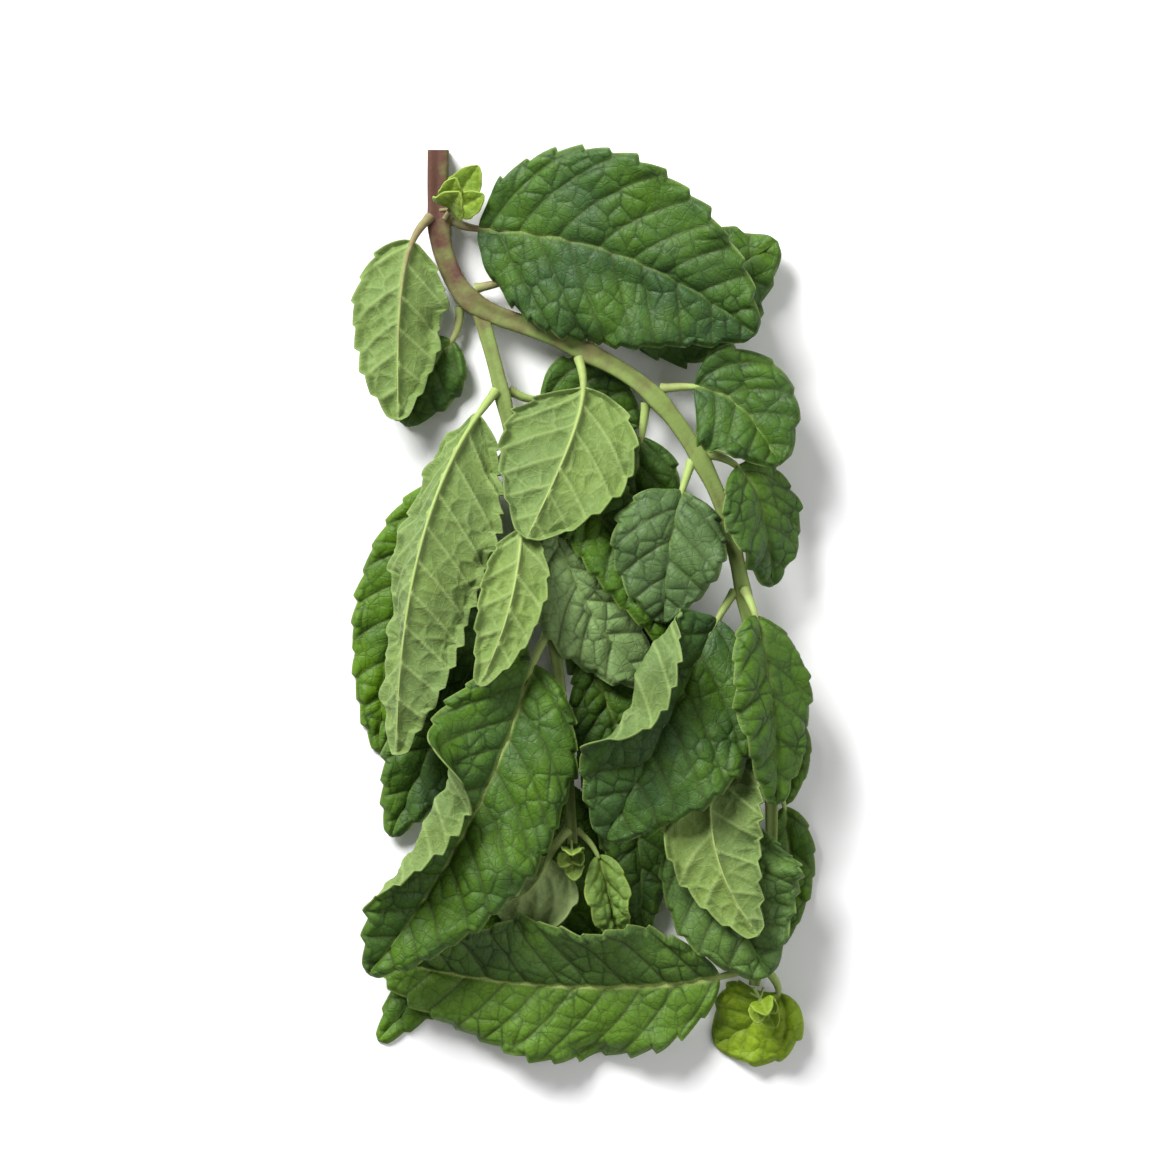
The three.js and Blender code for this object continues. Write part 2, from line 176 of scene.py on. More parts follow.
# The solid stem's corners are cut off at this share of half a side, so the section reaches this far.
STEM_REACH = np.hypot(1, CORNER_SHARE)


def stem_half_side(stem, share):
    root, tip = stem["half_side"]
    away = [(share - node) * stem["line"].length / NODE_SPREAD for node in stem["nodes"]]
    swelling = sum(np.exp(-(a**2)) for a in away)
    return (root + (tip - root) * share) * (1 + NODE_SWELLING * swelling)


print("stem lengths in mm:", [round(stem["line"].length, 1) for stem in STEMS.values()])

# %% [markdown]
# The leaves. Each one says which stem it grows on and where, the bend and tip of its midrib, and half its
# width. A turn of 180 shows the underside, and a twist turns the blade further towards its tip. Each half
# folds up from the midrib, curls towards the margin, and may roll right over. A roll gives its angle, the
# share of the length it is centred on, and its reach. Wave is the margin's rise and fall, as a share of
# half the width. Tone runs from bluish dark green at 0 to warm light green at 1, for the left and the right
# half. Rib says how pale the midrib is. The pale value says how greyish the blade is, and on some leaves it
# also lightens the whole blade as painted light: a painted sheen where light is reflected, and painted
# light on a leaf that lies in shade. A young leaf is brighter.

# %% Leaf table
LEVEL = {"fold": 0, "curl": -14}
FLAT = {"fold": 10, "curl": -14}
SPREAD = {"fold": 6, "curl": -22}
DROOPING = {"fold": -12, "curl": -12}
HOOD = {"fold": 12, "curl": 25}
UPTURNED = {"fold": 50, "curl": 0}
WAVE_SHARE = 0.07
HALF_TURN = 180


def leaf(stem, at, bend, tip, half_width, right=FLAT, left=FLAT, **more):
    place = {"stem": STEMS[stem], "at": at, "bend": bend, "tip": tip, "half_width": half_width}
    form = {"turn": 0, "twist": 0, "lean": 0.8, "wave": WAVE_SHARE, "right": right, "left": left}
    look = {"tone": (0.4, 0.4), "rib": 0.3, "pale": 0.0, "young": False}
    return {**place, **form, **look, **more}


LEAVES = {
    "main_leaf_1_left": leaf(
        "main", 0.075, (-34, 58, 11), (-33.5, 34, 9), 8.5, HOOD, HOOD, turn=180, twist=12, tone=(0.5, 0.6)
    ),
    "main_leaf_1_right": leaf(
        "main", 0.075, (4, 74, 17), (34, 50, 15), 18, SPREAD, FLAT, twist=-10, tone=(0.3, 0.15)
    ),
    "main_leaf_2_left": leaf("main", 0.163, (-28.5, 47, 3), (-32, 33, 2), 7),
    "main_leaf_2_right": leaf("main", 0.163, (-9, 63, 6), (7, 58.5, 3.5), 7.4, tone=(0.3, 0.3)),
    "main_leaf_3_left": leaf(
        "main", 0.295, (21.5, 56.5, 9), (38.5, 68, 6), 13, DROOPING, DROOPING, tone=(0.4, 0.3)
    ),
    "main_leaf_3_right": leaf(
        "main", 0.295, (1, 32, 15), (-9, 11.5, 18), 12.5, turn=180, twist=-10, tone=(0.4, 0.7)
    ),
    "main_leaf_4_left": leaf(
        "main", 0.38, (31, 41, 13), (38.5, 25.5, 14), 10.5, twist=15, tone=(0.3, 0.3)
    ),
    "main_leaf_4_right": leaf("main", 0.38, (12, 27, 7), (10, 12, 6), 8),
    # Its pale value greys the blade as a painted sheen of reflected light.
    "main_leaf_5_right": leaf(
        "main", 0.458, (17, 11.7, 18.2), (16.7, -4.5, 13.6), 10.5, tone=(0.0, 0.0), rib=0.1, pale=0.3
    ),
    "main_leaf_5_left": leaf(
        "main", 0.458, (36.5, 19, 13), (37.5, 2.5, 10), 10, turn=45, tone=(0.5, 0.4)
    ),
    "main_leaf_6_right": leaf(
        "main", 0.6, (16.5, -26, 21.5), (5.5, -45, 17), 17,
        {"fold": 14, "curl": 0, "roll": (150, 0.25, 0.5)}, SPREAD, tone=(0.35, 0.15), rib=0.05,
    ),
    "main_leaf_6_left": leaf(
        "main", 0.6, (38.2, -18, 19), (38, -38.5, 17.5), 9.2, turn=42, tone=(0.6, 0.5)
    ),
    "main_leaf_7_right": leaf(
        "main", 0.7, (18, -42, 15.5), (34.5, -63, 16), 9.5, LEVEL, FLAT, turn=180, tone=(0.9, 0.4)
    ),
    "main_leaf_7_left": leaf("main", 0.7, (41, -28, 3), (40, -39, 2), 4.5, tone=(0.6, 0.6)),
    "main_leaf_8_right": leaf(
        "main", 0.8, (24, -50, 13), (36.5, -71, 12), 13,
        {"fold": 5, "curl": -25}, {"fold": 8, "curl": -14}, tone=(0.4, 0.5), rib=0.1, pale=0.2,
    ),
    "main_leaf_8_left": leaf("main", 0.8, (41, -52, 2), (39, -66, 1.5), 5, tone=(0.6, 0.6)),
    "main_leaf_9_right": leaf(
        "main", 0.985, (-10.5, -76.5, 7), (-39, -67, 6), 14,
        {"fold": 32, "curl": 10}, SPREAD, wave=0.15, tone=(1.0, 0.45), rib=2.0, pale=0.12,
    ),
    "main_leaf_9_left": leaf(
        "main", 0.985, (37.8, -78.4, 4.6), (26.5, -84.8, 1), 8.6, tone=(0.7, 0.4), young=True
    ),
    "side_leaf_1_right": leaf(
        "side", 0.136, (-33, 17, 27), (-33.5, -29, 17), 13,
        {"fold": 8, "curl": 20}, {"fold": 78, "curl": -12}, turn=180, tone=(0.4, 0.5),
    ),
    "side_leaf_1_left": leaf("side", 0.136, (-3, 43, 2), (12, 33, 2.5), 8),
    "side_leaf_2_right": leaf(
        "side", 0.25, (-36.3, 16.5, 1.5), (-37.3, -29, 1.5), 8.5, LEVEL, LEVEL, tone=(0.7, 0.8)
    ),
    "side_leaf_2_left": leaf(
        "side", 0.25, (11.5, 10, 16), (20.3, -11, 10.5), 7.5,
        {"fold": 21, "curl": -22}, FLAT, tone=(0.5, 0.6),
    ),
    "side_leaf_3_right": leaf(
        "side", 0.365, (-9.5, 0, 23), (-18, -16, 21.5), 6, turn=180, tone=(0.8, 0.8)
    ),
    "side_leaf_3_left": leaf(
        "side", 0.365, (-2.5, -0.5, 12.6), (14.5, -16, 9), 9.5,
        FLAT, {"fold": -20, "curl": -8}, tone=(0.6, 0.9), rib=0.1, pale=0.9,
    ),
    "side_leaf_4_right": leaf("side", 0.49, (-22, -14, 5), (-35, -45, 3), 10, tone=(0.3, 0.5)),
    "side_leaf_4_left": leaf("side", 0.49, (8, -12, 3), (22, -32, 2.5), 9),
    "side_leaf_5_right": leaf(
        "side", 0.61, (-12, -38, 19.5), (-39, -70.5, 13.5), 15.5,
        {"fold": 20, "curl": 0, "roll": (150, 0.6, 0.26)}, {"fold": 24, "curl": -45},
        tone=(0.55, 0.4), rib=0.8,
    ),
    "side_leaf_5_left": leaf("side", 0.61, (14, -37, 5), (12.5, -64, 4), 8.5, lean=0.5),
    "side_leaf_6_right": leaf(
        "side", 0.85, (-16, -60, 1.5), (-37.5, -84, 1), 9, LEVEL, LEVEL, tone=(0.8, 0.7)
    ),
    "side_leaf_6_left": leaf("side", 0.85, (0, -58, 1.5), (-6, -86, 1), 8, LEVEL, LEVEL, tone=(0.7, 0.7)),
    # Its high pale value lightens this underside, which lies in shade under side_leaf_5_right, as painted
    # light.
    "side_leaf_7_right": leaf(
        "side", 0.985, (-5, -56, 10), (-15.5, -57.5, 8), 8.5, turn=180, pale=0.8
    ),
    "side_leaf_7_left": leaf(
        "side", 0.985, (5.5, -57.5, 9), (9, -65, 8), 5, UPTURNED, UPTURNED,
        tone=(0.0, 0.0), pale=0.5, young=True,
    ),
}
print("leaves:", len(LEAVES))

# %% [markdown]
# A blade's outline is widest a little below its middle and has rounded ends, with saw teeth that point at
# the tip. The blade's cross-section is worked out by walking outwards from the midrib in small steps and
# turning by the fold, curl and roll on the way, so the blade keeps its true width however far it rolls.

# %% Blade form
STALK_LENGTH = 5.0
STALK_PULL = 1.4
JOINT_GAP = 0.95
OUTLINE_SKEW = 0.76
OUTLINE_FULLNESS = 0.72
CURL_GROWTH = 1.5
ROLL_REACH = (0.4, 0.7)
ROLL_FLATNESS = 4
SECTION_STEPS = 24


def midrib_of(spec):
    stem = spec["stem"]
    centre = stem["line"].at(spec["at"])
    forward = stem["line"].way(spec["at"])
    outward = np.array(spec["bend"], float) - centre
    outward = unit(outward - forward * outward.dot(forward))
    root = centre + outward * (stem_half_side(stem, spec["at"]) * STEM_REACH + JOINT_GAP)
    lead = root + unit(outward + forward * spec["lean"]) * STALK_LENGTH * STALK_PULL
    return bezier(root, lead, spec["bend"], spec["tip"])


def outline(s, widest):
    return widest * np.abs(np.sin(np.pi * s**OUTLINE_SKEW)) ** OUTLINE_FULLNESS


def section(half, s, distance, widest):
    turn, middle, spread = half.get("roll", (0, 0, 1))
    roll = turn * np.exp(-(((s - middle) / spread) ** ROLL_FLATNESS))

    def slope_at(d):
        share = d / widest
        curl = half["curl"] * share**CURL_GROWTH
        return np.radians(half["fold"] + curl + roll * smooth(*ROLL_REACH, share))

    out = np.zeros_like(s)
    rise = np.zeros_like(s)
    for i in range(SECTION_STEPS):
        slope = slope_at((i + 0.5) / SECTION_STEPS * distance)
        out += np.cos(slope) * distance / SECTION_STEPS
        rise += np.sin(slope) * distance / SECTION_STEPS
    return out, rise, slope_at(distance)


print("longest midrib in mm:", round(max(midrib_of(spec).length for spec in LEAVES.values()), 1))

# %% [markdown]
# The saw teeth rise slowly and drop fast past their points, and no two are quite the same depth. They only
# move the outer part of the blade, so the veins inside stay where they are.

# %% Teeth
TOOTH_SPACING = 4.4
TOOTH_DEPTH = 1.1
TOOTH_SHARE = 0.1
TOOTH_PEAK = 0.86
TOOTH_BULGE = 0.9
TOOTH_RANGE = (0.6, 1.3)
TOOTHLESS_BASE = 0.06


def tooth_count(length):
    return max(2, round(length / TOOTH_SPACING))


def teeth_along(s, side, length, widest, rng):
    count = tooth_count(length)
    number = np.clip((s * count).astype(int), 0, count - 1)
    phase = s * count - number
    climb = (phase / TOOTH_PEAK) ** TOOTH_BULGE
    drop = (1 - phase) / (1 - TOOTH_PEAK)
    depths = rng.uniform(*TOOTH_RANGE, (2, count))[(side > 0).astype(int), number]
    profile = np.where(phase < TOOTH_PEAK, climb, drop) * depths
    return min(TOOTH_DEPTH, widest * TOOTH_SHARE) * profile * smooth(0.0, TOOTHLESS_BASE, s)


print("teeth on each side of a 50 mm blade:", tooth_count(50))

# %% [markdown]
# A mint leaf looks quilted: the midrib and its side veins are sunk in the upper face, finer veins join them
# into a net, and the blade swells between them. The net is drawn on the flat leaf. Side veins leave the
# midrib at a slant and curve towards the tip. Between two side veins, seeds are scattered in two rows by a
# fixed draw, and a cell's wall runs where two seeds are equally near.

# %% Vein net
SIDE_VEIN_GAP = 7.0
SIDE_VEIN_SLANT = 0.62
SIDE_VEIN_BEND = 0.25
SIDE_VEIN_START = 0.35
SIDE_VEIN_STAGGER = 0.2
SIDE_VEIN_JITTER = 0.13
VEINS_BELOW_BASE = 3
CELL_SIZE = 3.7
CELLS_ACROSS = 2.5
CELL_ROWS = (0.27, 0.73)
FIRST_CELL = (0.2, 0.9)
CELL_JITTER = 0.36
ROW_JITTER = 0.13


def side_vein_count(length):
    return max(4, int(round(length / SIDE_VEIN_GAP)))


def vein_net(x, y, length, widest, rng):
    reach = np.abs(x)
    start = y - SIDE_VEIN_SLANT * reach - SIDE_VEIN_BEND * reach**2 / widest
    slant = SIDE_VEIN_SLANT + 2 * SIDE_VEIN_BEND * reach / widest
    count = side_vein_count(length)
    cell = min(CELL_SIZE, widest / CELLS_ACROSS)
    side_veins = np.zeros_like(x)
    seeds = []
    for side in (-1, 1):
        starts = np.arange(-VEINS_BELOW_BASE, count + 1) + SIDE_VEIN_START + SIDE_VEIN_STAGGER * side
        starts = starts + rng.uniform(-SIDE_VEIN_JITTER, SIDE_VEIN_JITTER, len(starts))
        starts = starts * (length / count)
        nearest = np.abs(start[:, None] - starts[None]).min(axis=1) / np.hypot(1, slant)
        side_veins = np.where(x * side >= 0, nearest, side_veins)
        for low, high in zip(starts, starts[1:]):
            for row in CELL_ROWS:
                out = np.arange(rng.uniform(*FIRST_CELL) * cell, widest + cell, cell)
                out = out + rng.uniform(-CELL_JITTER, CELL_JITTER, len(out)) * cell
                along = low + (high - low) * (row + rng.uniform(-ROW_JITTER, ROW_JITTER, len(out)))
                along = along + SIDE_VEIN_SLANT * out + SIDE_VEIN_BEND * out**2 / widest
                seeds.append(np.stack([side * out, along], axis=1))
    seeds = np.vstack(seeds)
    far = np.hypot(x[:, None] - seeds[None, :, 0], y[:, None] - seeds[None, :, 1])
    two = np.partition(far, 1, axis=1)[:, :2]
    return side_veins, (two[:, 1] - two[:, 0]) / 2


print("side veins in each half of a 50 mm blade:", side_vein_count(50))

# %% [markdown]
# The net's height. The blade rises in a broad pillow between two side veins and in a smaller one on each
# cell, and falls in a crease along the midrib. The cells are stronger in some places than in others, as on
# a leaf that has been handled. The same distances also say where the finish draws a vein, and where it
# paints a groove dark as painted shade.

# %% Quilting
PILLOW = 0.55
PILLOW_REACH = 2.6
CELL_PILLOW = 0.5
CELL_REACH = 1.4
CELL_LEAST = 0.4
MIDRIB_CREASE = 0.5
CREASE_REACH = 1.8
QUILT_MEAN = 0.62
QUILT_SPREAD = 0.38
QUILT_CONTRAST = 1.3
QUILT_PATCH = 15.0
RIPPLE_RANGE = (0.7, 1.5)
CLEAR_OF_BRANCH = (0.1, 0.6)
CLEAR_OF_MIDRIB = (0.2, 1.0)
MIDRIB_LINE = 0.6
MIDRIB_TAPER = 0.4
MIDRIB_STRENGTH = 1.1
MIDRIB_FADE = 0.6
BRANCH_LINE = 0.26
WALL_LINE = 0.16


def soft_ripple(x, y, rng, wavelength, waves=7):
    total = np.zeros_like(x)
    for _ in range(waves):
        angle = rng.uniform(0, 2 * np.pi)
        step = 2 * np.pi / (wavelength * rng.uniform(*RIPPLE_RANGE))
        total += np.sin((x * np.cos(angle) + y * np.sin(angle)) * step + rng.uniform(0, 2 * np.pi))
    return total / waves**0.5


def dome(away, reach):
    return 1 - (1 - np.clip(away / reach, 0, 1)) ** 2


def drawn(away, half_width):
    return np.exp(-((away / half_width) ** 2))


def quilt(x, y, length, widest, rng):
    side_veins, cell_wall = vein_net(x, y, length, widest, rng)
    middle = np.abs(x)
    along = y / length
    strength = QUILT_MEAN + QUILT_SPREAD * np.tanh(QUILT_CONTRAST * soft_ripple(x, y, rng, QUILT_PATCH))
    clear = smooth(*CLEAR_OF_BRANCH, side_veins) * smooth(*CLEAR_OF_MIDRIB, middle)
    swell = PILLOW * dome(side_veins, PILLOW_REACH)
    swell += CELL_PILLOW * strength * dome(cell_wall, CELL_REACH) * (CELL_LEAST + (1 - CELL_LEAST) * clear)
    swell += MIDRIB_CREASE * dome(middle, CREASE_REACH)
    midrib = drawn(middle, MIDRIB_LINE - MIDRIB_TAPER * along) * (MIDRIB_STRENGTH - MIDRIB_FADE * along)
    branches = drawn(side_veins, BRANCH_LINE)
    walls = strength * clear * drawn(cell_wall, WALL_LINE)
    # The last mask is the net: the upper face paints it dark as painted shade in its grooves, the underside
    # as pale veins.
    return swell, midrib, branches, np.maximum(branches, walls)


print("a cell stands above the midrib by up to", PILLOW + CELL_PILLOW + MIDRIB_CREASE, "mm")

# %% [markdown]
# Finishes are built from nodes. A few short helpers keep the wiring readable: each adds one node, links
# what is linked, sets what is a plain number, and returns the output. Colours are given as they look on a
# screen and turned into amounts of light. A noise mostly stays in its middle range, which is stretched.

# %% Material helpers
COLOUR_INPUTS = (0, 6, 7)
COLOUR_OUTPUT = 2
NOISE_RANGE = (0.3, 0.7)
SMOOTHER = 0.06
ROUGHER = 0.1


def new_material(name):
    material = bpy.data.materials.new(name)
    material.use_nodes = True
    material.node_tree.nodes.clear()
    return material, material.node_tree.nodes, material.node_tree.links


def linear(red, green, blue):
    values = [c / 255 for c in (red, green, blue)]
    return (*[c / 12.92 if c <= 0.04045 else ((c + 0.055) / 1.055) ** 2.4 for c in values], 1.0)


def feed(links, socket, value):
    if isinstance(value, bpy.types.NodeSocket):
        links.new(value, socket)
    else:
        socket.default_value = value


def attribute(nodes, name, output="Fac"):
    node = nodes.new("ShaderNodeAttribute")
    node.attribute_name = name
    return node.outputs[output]


def mix(nodes, links, factor, first, second, blend="MIX"):
    node = nodes.new("ShaderNodeMix")
    node.data_type = "RGBA"
    node.blend_type = blend
    for number, value in zip(COLOUR_INPUTS, (factor, first, second)):
        feed(links, node.inputs[number], value)
    return node.outputs[COLOUR_OUTPUT]


def math(nodes, links, operation, first, second):
    node = nodes.new("ShaderNodeMath")
    node.operation = operation
    for socket, value in zip(node.inputs, (first, second)):
        feed(links, socket, value)
    return node.outputs[0]


def noise(nodes, links, vector, scale, detail):
    node = nodes.new("ShaderNodeTexNoise")
    node.inputs["Scale"].default_value = scale
    node.inputs["Detail"].default_value = detail
    links.new(vector, node.inputs["Vector"])
    return node.outputs["Fac"]


def stretch(nodes, links, value, low, high, to_low=0.0, to_high=1.0):
    node = nodes.new("ShaderNodeMapRange")
    for socket, number in zip(node.inputs[1:5], (low, high, to_low, to_high)):
        socket.default_value = number
    links.new(value, node.inputs[0])
    return node.outputs[0]


def bumped(nodes, links, height, strength, distance):
    bump = nodes.new("ShaderNodeBump")
    bump.inputs["Strength"].default_value = strength
    bump.inputs["Distance"].default_value = distance * MM
    links.new(height, bump.inputs["Height"])
    return bump.outputs[0]


def rough_by(nodes, links, grain, roughness):
    return stretch(nodes, links, grain, *NOISE_RANGE, roughness - SMOOTHER, roughness + ROUGHER)


print("mid grey as an amount of light:", round(linear(128, 128, 128)[0], 3))

# %% [markdown]
# Leaf finishes. A face mixes a cool and a warm green by the leaf's tone and in soft patches, and a pale
# green by its pale value, a greyish tint that on some leaves is painted sheen or painted light. On the
# upper side the net is a groove painted dark as painted shade, and on the underside, which is paler and
# duller, it
# is a raised pale line: the veins' own paleness, made stronger as painted light on their ridges. The margin
# is a thin light line. Some light passes through a blade, so a translucent shader is mixed in. The finest
# veins divide each cell again, about two millimetres apart, so a Voronoi texture draws them; on the upper
# side they too are painted dark as painted shade in their grooves.

# %% Leaf finishes
FINE_MESH = 0.52
FINE_VEIN = 0.07
NOISE_DETAIL = 3
PATCH_SCALE = 0.09
PATCH_SHIFT = 0.3
SPECKLE_SCALE = 1.1
SPECKLE_RANGE = (0.86, 1.12)
GRAIN_SCALE = 1.8
LEAF_BUMP = (0.4, 0.3)


def fine_veins(nodes, links, flat):
    cells = nodes.new("ShaderNodeTexVoronoi")
    cells.feature = "DISTANCE_TO_EDGE"
    cells.inputs["Scale"].default_value = FINE_MESH
    links.new(flat, cells.inputs["Vector"])
    return stretch(nodes, links, cells.outputs["Distance"], 0.0, FINE_VEIN, 1.0, 0.0)


def leaf_colour(nodes, links, flat, fine, look):
    patches = noise(nodes, links, flat, PATCH_SCALE, NOISE_DETAIL)
    patches = stretch(nodes, links, patches, *NOISE_RANGE, -PATCH_SHIFT, PATCH_SHIFT)
    tone = math(nodes, links, "ADD", attribute(nodes, "tone"), patches)
    colour = mix(nodes, links, tone, look["cool"], look["warm"])
    # The pale green mixed in here is a greyish tint, and on some leaves painted sheen or painted light.
    colour = mix(nodes, links, attribute(nodes, "pale"), colour, look["pale"])
    speckle = noise(nodes, links, flat, SPECKLE_SCALE, NOISE_DETAIL)
    speckle = stretch(nodes, links, speckle, *NOISE_RANGE, *SPECKLE_RANGE)
    colour = mix(nodes, links, 1.0, colour, speckle, "MULTIPLY")
    # Along the fine veins and the net the upper face is painted dark as painted shade in the grooves; the
    # underside is made paler, partly the veins' own colour and partly painted light on their ridges.
    for lines, share in ((fine, look["fine_groove_shade_and_vein_share"]), (attribute(nodes, "groove_shade_and_vein"), look["groove_shade_and_vein_share"])):
        colour = mix(nodes, links, math(nodes, links, "MULTIPLY", lines, share), colour, look["groove_shade_and_vein"])
    for name in ("branch", "midrib", "edge"):
        share = math(nodes, links, "MULTIPLY", attribute(nodes, name), look[name])
        colour = mix(nodes, links, share, colour, look["vein"])
    return colour


def leaf_finish(name, look):
    material, nodes, links = new_material(name)
    flat = attribute(nodes, "flat", "Vector")
    fine = fine_veins(nodes, links, flat)
    gloss = nodes.new("ShaderNodeBsdfPrincipled")
    links.new(leaf_colour(nodes, links, flat, fine, look), gloss.inputs["Base Color"])
    grain = noise(nodes, links, flat, GRAIN_SCALE, NOISE_DETAIL)
    links.new(rough_by(nodes, links, grain, look["roughness"]), gloss.inputs["Roughness"])
    gloss.inputs["Specular IOR Level"].default_value = look["shine"]
    gloss.inputs["Sheen Weight"].default_value = look["sheen"]

    grooves = math(nodes, links, "MULTIPLY", fine, look["fine_depth"])
    height = math(nodes, links, "SUBTRACT", grain, grooves)
    links.new(bumped(nodes, links, height, *LEAF_BUMP), gloss.inputs["Normal"])

    through = nodes.new("ShaderNodeBsdfTranslucent")
    through.inputs["Color"].default_value = look["glow"]
    both = nodes.new("ShaderNodeMixShader")
    both.inputs[0].default_value = look["see_through"]
    links.new(gloss.outputs[0], both.inputs[1])
    links.new(through.outputs[0], both.inputs[2])
    output = nodes.new("ShaderNodeOutputMaterial")
    links.new(both.outputs[0], output.inputs["Surface"])
    return material


# The face's dark net colour is painted shade in the grooves of the net and of the fine veins.
FACE_LOOK = {
    # The pale colour, here and on the underside, is mixed in by a leaf's pale value: a greyish tint, and on
    # some leaves painted sheen or painted light.
    "cool": linear(52, 80, 40), "warm": linear(80, 116, 14), "pale": linear(118, 144, 88),
    "vein": linear(146, 164, 92), "groove_shade_and_vein": linear(16, 34, 8),
    "groove_shade_and_vein_share": 0.8, "fine_groove_shade_and_vein_share": 0.22, "fine_depth": 0.5, "branch": 0.1, "midrib": 1.0, "edge": 0.4,
    "roughness": 0.5, "shine": 0.2, "sheen": 0.0, "glow": linear(100, 140, 20), "see_through": 0.1,
}
# The underside's pale net colour is the veins' own paleness, made stronger as painted light on the raised
# veins.
BACK_LOOK = {
    "cool": linear(94, 117, 65), "warm": linear(110, 133, 64), "pale": linear(150, 170, 110),
    "vein": linear(148, 168, 104), "groove_shade_and_vein": linear(140, 162, 96),
    "groove_shade_and_vein_share": 0.3, "fine_groove_shade_and_vein_share": 0.2, "fine_depth": -0.5, "branch": 0.25, "midrib": 0.7, "edge": 0.35,
    "roughness": 0.6, "shine": 0.18, "sheen": 0.05, "glow": linear(110, 150, 30), "see_through": 0.1,
}
# A young face's dark net colour is painted shade in its grooves as well.
YOUNG_FACE_LOOK = {
    **FACE_LOOK, "cool": linear(104, 136, 30), "warm": linear(136, 160, 32), "groove_shade_and_vein": linear(70, 96, 10),
    "vein": linear(170, 188, 90), "groove_shade_and_vein_share": 0.5, "see_through": 0.2, "glow": linear(150, 180, 30),
}
YOUNG_BACK_LOOK = {
    **BACK_LOOK, "cool": linear(124, 148, 66), "warm": linear(144, 164, 70), "see_through": 0.2,
    "glow": linear(150, 180, 50),
}
LEAF_FACE = leaf_finish("leaf_face", FACE_LOOK)
LEAF_BACK = leaf_finish("leaf_back", BACK_LOOK)
YOUNG_FACE = leaf_finish("young_face", YOUNG_FACE_LOOK)
YOUNG_BACK = leaf_finish("young_back", YOUNG_BACK_LOOK)
print("leaf finishes:", [m.name for m in (LEAF_FACE, LEAF_BACK, YOUNG_FACE, YOUNG_BACK)])

# %% [markdown]
# Stems and stalks. The stem is purple-brown near its cut end and turns pale green further on, with
# blotches of both where they meet. The change lies between two places along +Y, given in metres. The stalks
# and midribs are pale yellow-green, and the cut end shows whitish pith. Stems have no flat pattern to
# follow, so their textures are placed by the object itself.

# %% Stem finishes
PURPLE_FROM = 0.04
PURPLE_TO = 0.075
BLOTCH_SCALE = 260
BLOTCH_DETAIL = 5
BLOTCH_SHIFT = 0.4
SKIN_GRAIN_SCALE = 1400
STEM_SHINE = 0.2
STEM_BUMP = (0.3, 0.3)


def stem_finish(name, young, old, roughness):
    material, nodes, links = new_material(name)
    place = nodes.new("ShaderNodeTexCoord").outputs["Object"]
    apart = nodes.new("ShaderNodeSeparateXYZ")
    links.new(place, apart.inputs[0])
    blotch = noise(nodes, links, place, BLOTCH_SCALE, BLOTCH_DETAIL)
    blotch = stretch(nodes, links, blotch, *NOISE_RANGE, -BLOTCH_SHIFT, BLOTCH_SHIFT)
    age = stretch(nodes, links, apart.outputs["Y"], PURPLE_FROM, PURPLE_TO)
    colour = mix(nodes, links, math(nodes, links, "ADD", age, blotch), young, old)
    gloss = nodes.new("ShaderNodeBsdfPrincipled")
    links.new(colour, gloss.inputs["Base Color"])
    grain = noise(nodes, links, place, SKIN_GRAIN_SCALE, NOISE_DETAIL)
    links.new(rough_by(nodes, links, grain, roughness), gloss.inputs["Roughness"])
    gloss.inputs["Specular IOR Level"].default_value = STEM_SHINE
    links.new(bumped(nodes, links, grain, *STEM_BUMP), gloss.inputs["Normal"])
    output = nodes.new("ShaderNodeOutputMaterial")
    links.new(gloss.outputs[0], output.inputs["Surface"])
    return material


STEM_SKIN = stem_finish("stem_skin", linear(110, 128, 66), linear(84, 56, 46), 0.58)
RIB_SKIN = stem_finish("rib_skin", linear(144, 164, 92), linear(122, 112, 78), 0.56)
STEM_PITH = stem_finish("stem_pith", linear(176, 186, 134), linear(184, 188, 146), 0.7)
print("stem finishes:", STEM_SKIN.name, RIB_SKIN.name, STEM_PITH.name)

# %% [markdown]
# A blade starts as a plain grid: rows from the stalk to the tip, columns from the left margin to the right.
# Edit-mode tools can't follow a rolled and quilted surface, so the grid's points are moved by formulas. The
# grid is fine enough for the cells of the net, about a quarter of a millimetre from point to point.

# %% Grids
GRID_STEP = 0.24
LEAST_COLUMNS = 8
LEAST_ROWS = 24


def grid_of(name, half_width, length):
    columns = 2 * max(LEAST_COLUMNS, int(half_width / GRID_STEP))
    rows = max(LEAST_ROWS, int(length / GRID_STEP))
    deselect()
    bpy.ops.mesh.primitive_grid_add(x_subdivisions=columns, y_subdivisions=rows, size=2)
    blade = bpy.context.object
    blade.name = blade.data.name = name
    corners = np.zeros(len(blade.data.vertices) * 3)
    blade.data.vertices.foreach_get("co", corners)
    corners = corners.reshape(-1, 3)
    return blade, corners[:, 0], np.clip((corners[:, 1] + 1) / 2, 0, 1)


widest_blade = max(spec["half_width"] for spec in LEAVES.values())
print("columns on the widest blade:", 2 * int(widest_blade / GRID_STEP))

# %% [markdown]
# The blade's form. Each point is first laid out flat, with the teeth, then bent by its half's section. The
# margin waves up and down, and crumples cross the blade as on a leaf that has been packed. They are sums of
# soft ripples, weaker on small leaves. A frill is a shorter crumple that only shows near the margin.

# %% Blade surface
LEAST_HALF_WIDTH = 0.25
TOOTH_FROM = 0.75
WAVES = 2.5
CRUMPLE = 0.5
CRUMPLE_LENGTH = 17.0
CRUMPLE_FROM = 4
FRILL = 0.55
FRILL_LENGTH = 8.0
FRILL_FROM = 0.5
FRILL_WIDTH = 6
FULL_CRUMPLE_WIDTH = 12


